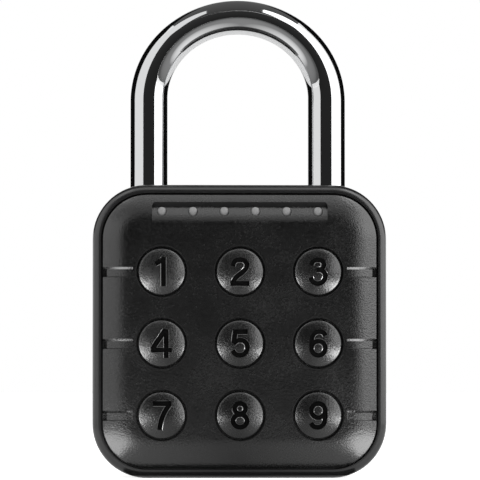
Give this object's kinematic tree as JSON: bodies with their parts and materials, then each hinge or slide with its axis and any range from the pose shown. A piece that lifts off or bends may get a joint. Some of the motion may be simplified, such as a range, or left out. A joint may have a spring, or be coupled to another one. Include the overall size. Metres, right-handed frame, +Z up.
{
  "type": "digital combination padlock",
  "caption": "Square black keypad padlock: crowned front panel with round domed number keys, a row of indicator lights and a chromed shackle over a motor-driven lock.",
  "frame": {"origin": "under the middle of the body, on its base, midway through the depth", "axes": "+X to the right seen from the front, +Y from the face to the back, +Z up to the shackle"},
  "size_m": [0.062, 0.026, 0.1021],
  "materials": {
    "housing": "semi-matte black powder coat on die-cast zinc",
    "panel": "fine-textured black moulding",
    "keys": "fine-textured black moulding, digits sunk and filled dark",
    "shackle": "polished chrome on hardened steel",
    "lights": "milky grey light diffuser",
    "rubber": "black rubber",
    "mat": "grey silicone",
    "board": "green solder mask",
    "zinc": "raw die-cast zinc",
    "brass": "machined brass",
    "nylon": "black nylon",
    "battery": "foil wrap",
    "foam": "closed-cell foam",
    "steel": "plain steel"
  },
  "bodies": {
    "body": {"housing": "housing", "front_panel": "panel", "panel_gasket": "rubber", "light_guide": "lights", "keypad_mat": "mat", "control_board": "board", "left_shackle_seal": "rubber", "right_shackle_seal": "rubber", "keeper_pin": "steel", "lift_spring": "steel", "bolt_block": "zinc", "block_cover": "steel", "gearbox": "brass", "motor_can": "steel", "motor_cradle": "nylon", "motor_strap": "steel", "battery": "battery", "battery_pad": "foam", "charge_socket": "steel", "left_block_screw": "steel", "right_block_screw": "steel", "left_strap_screw": "steel", "right_strap_screw": "steel", "panel_screw_1": "steel", "panel_screw_2": "steel", "panel_screw_3": "steel", "panel_screw_4": "steel", "board_screw_1": "steel", "board_screw_2": "steel", "board_screw_3": "steel", "board_screw_4": "steel"},
    "shackle": {"shackle": "shackle"},
    "key_1": {"key_1": "keys"},
    "key_2": {"key_2": "keys"},
    "key_3": {"key_3": "keys"},
    "key_4": {"key_4": "keys"},
    "key_5": {"key_5": "keys"},
    "key_6": {"key_6": "keys"},
    "key_7": {"key_7": "keys"},
    "key_8": {"key_8": "keys"},
    "key_9": {"key_9": "keys"},
    "cam": {"scroll_cam": "brass", "output_shaft": "steel"},
    "left_bolt": {"left_bolt": "steel"},
    "right_bolt": {"right_bolt": "steel"},
    "port_plug": {"port_plug": "rubber"}
  },
  "joints": [
    {"name": "shackle_lift", "type": "slide", "parent": "body", "child": "shackle", "axis": [0, 0, 1], "range_m": [0, 0.013], "deforming": ["lift_spring"]},
    {"name": "key_1_press", "type": "slide", "parent": "body", "child": "key_1", "axis": [0, 1, 0], "range_m": [0, 0.0008], "stiffness_N_per_m": 1500, "deforming": ["keypad_mat"]},
    {"name": "key_2_press", "type": "slide", "parent": "body", "child": "key_2", "axis": [0, 1, 0], "range_m": [0, 0.0008], "stiffness_N_per_m": 1500, "deforming": ["keypad_mat"]},
    {"name": "key_3_press", "type": "slide", "parent": "body", "child": "key_3", "axis": [0, 1, 0], "range_m": [0, 0.0008], "stiffness_N_per_m": 1500, "deforming": ["keypad_mat"]},
    {"name": "key_4_press", "type": "slide", "parent": "body", "child": "key_4", "axis": [0, 1, 0], "range_m": [0, 0.0008], "stiffness_N_per_m": 1500, "deforming": ["keypad_mat"]},
    {"name": "key_5_press", "type": "slide", "parent": "body", "child": "key_5", "axis": [0, 1, 0], "range_m": [0, 0.0008], "stiffness_N_per_m": 1500, "deforming": ["keypad_mat"]},
    {"name": "key_6_press", "type": "slide", "parent": "body", "child": "key_6", "axis": [0, 1, 0], "range_m": [0, 0.0008], "stiffness_N_per_m": 1500, "deforming": ["keypad_mat"]},
    {"name": "key_7_press", "type": "slide", "parent": "body", "child": "key_7", "axis": [0, 1, 0], "range_m": [0, 0.0008], "stiffness_N_per_m": 1500, "deforming": ["keypad_mat"]},
    {"name": "key_8_press", "type": "slide", "parent": "body", "child": "key_8", "axis": [0, 1, 0], "range_m": [0, 0.0008], "stiffness_N_per_m": 1500, "deforming": ["keypad_mat"]},
    {"name": "key_9_press", "type": "slide", "parent": "body", "child": "key_9", "axis": [0, 1, 0], "range_m": [0, 0.0008], "stiffness_N_per_m": 1500, "deforming": ["keypad_mat"]},
    {"name": "cam_turn", "type": "hinge", "parent": "body", "child": "cam", "pos_m": [0, 0.003, 0.0484], "axis": [0, 0, 1], "range_deg": [0, 100]},
    {"name": "left_bolt_slide", "type": "slide", "parent": "body", "child": "left_bolt", "axis": [-1, 0, 0], "range_m": [0, 0.0018]},
    {"name": "right_bolt_slide", "type": "slide", "parent": "body", "child": "right_bolt", "axis": [1, 0, 0], "range_m": [0, 0.0018]},
    {"name": "port_plug_pull", "type": "slide", "parent": "body", "child": "port_plug", "axis": [0, 0, -1], "range_m": [0, 0.004]}
  ],
  "couplings": [
    {"joint": "cam_turn", "follows": "left_bolt_slide", "rad_per_m": 969.62},
    {"joint": "right_bolt_slide", "follows": "left_bolt_slide", "ratio": 1}
  ]
}
